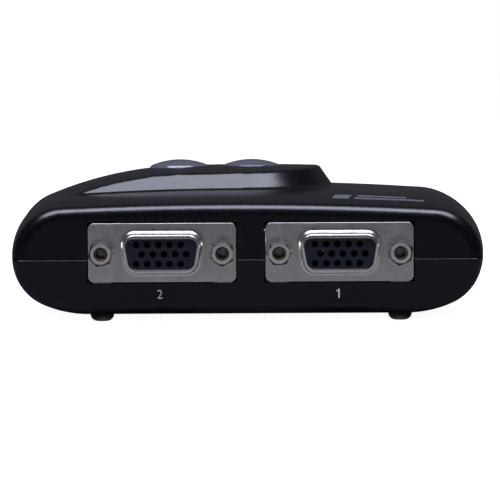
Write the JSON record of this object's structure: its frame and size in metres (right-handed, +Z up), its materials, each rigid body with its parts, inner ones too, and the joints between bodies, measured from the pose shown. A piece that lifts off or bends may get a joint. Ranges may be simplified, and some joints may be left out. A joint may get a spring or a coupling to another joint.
{
  "type": "desktop KVM switch",
  "caption": "Compact pillow-shaped desktop switch that shares one monitor, keyboard and mouse between computers, with push buttons on a raised platform and video sockets in metal flanges.",
  "frame": {"origin": "middle of the footprint, on the plane the feet stand on", "axes": "+Z up; -Y out of the rear face with the two computer ports; +X towards port 1"},
  "size_m": [0.1008, 0.0838, 0.0328],
  "materials": {
    "black_plastic": "satin moulded black",
    "label_film": "satin printed film, blank",
    "screw_steel": "black oxide steel",
    "foot_rubber": "matt black",
    "smoky_plastic": "glossy smoky grey",
    "switch_plastic": "matt black",
    "plunger_plastic": "matt ivory",
    "tin_plate": "tinned",
    "spring_steel": "bright",
    "led_lens": "tinted clear epoxy",
    "board_laminate": "green solder mask",
    "nickel_shell": "dull nickel plate",
    "jack_nickel": "nickel plated brass",
    "port_plastic": "moulded dark blue black",
    "gold_contact": "gold flash",
    "header_plastic": "natural nylon",
    "ribbon_plastic": "grey vinyl",
    "usb_plastic": "moulded black",
    "chip_plastic": "moulded black",
    "can_metal": "bright can",
    "ceramic": "fired ceramic"
  },
  "bodies": {
    "housing": {"top_shell": "black_plastic", "bottom_shell": "black_plastic", "rating_label": "label_film", "housing_screws": "screw_steel", "rubber_feet": "foot_rubber", "switch_bases": "switch_plastic", "switch_covers": "tin_plate", "switch_terminals": "tin_plate", "snap_dome_1": "spring_steel", "snap_dome_2": "spring_steel", "button_leds": "led_lens", "led_leads": "tin_plate", "button_board": "board_laminate", "button_board_screws": "screw_steel", "ribbon_headers": "header_plastic", "ribbon_plugs": "header_plastic", "ribbon_header_pins": "tin_plate", "ribbon_cable": "ribbon_plastic", "usb_keyboard_shield": "tin_plate", "usb_keyboard_tongue": "usb_plastic", "usb_keyboard_contacts": "gold_contact", "usb_mouse_shield": "tin_plate", "usb_mouse_tongue": "usb_plastic", "usb_mouse_contacts": "gold_contact", "main_board": "board_laminate", "controller_chip": "chip_plastic", "picture_switch_chips": "chip_plastic", "chip_leads": "tin_plate", "crystal_can": "can_metal", "can_capacitors": "can_metal", "voltage_regulator": "chip_plastic", "chip_resistors": "chip_plastic", "chip_capacitors": "ceramic", "port_1_shell": "nickel_shell", "port_1_insulator": "port_plastic", "port_1_brackets": "tin_plate", "port_1_contacts": "gold_contact", "port_1_jack_screws": "jack_nickel", "port_2_shell": "nickel_shell", "port_2_insulator": "port_plastic", "port_2_brackets": "tin_plate", "port_2_contacts": "gold_contact", "port_2_jack_screws": "jack_nickel", "monitor_port_shell": "nickel_shell", "monitor_port_insulator": "port_plastic", "monitor_port_brackets": "tin_plate", "monitor_port_contacts": "gold_contact", "monitor_port_jack_screws": "jack_nickel"},
    "button_1": {"button_cap_1": "smoky_plastic", "switch_plunger_1": "plunger_plastic"},
    "button_2": {"button_cap_2": "smoky_plastic", "switch_plunger_2": "plunger_plastic"}
  },
  "joints": [
    {"name": "button_1_press", "type": "slide", "parent": "housing", "child": "button_1", "axis": [0, 0, -1], "range_m": [0, 0.0005], "stiffness_N_per_m": 400, "springref_m": -0.001, "deforming": ["snap_dome_1"]},
    {"name": "button_2_press", "type": "slide", "parent": "housing", "child": "button_2", "axis": [0, 0, -1], "range_m": [0, 0.0005], "stiffness_N_per_m": 400, "springref_m": -0.001, "deforming": ["snap_dome_2"]}
  ]
}
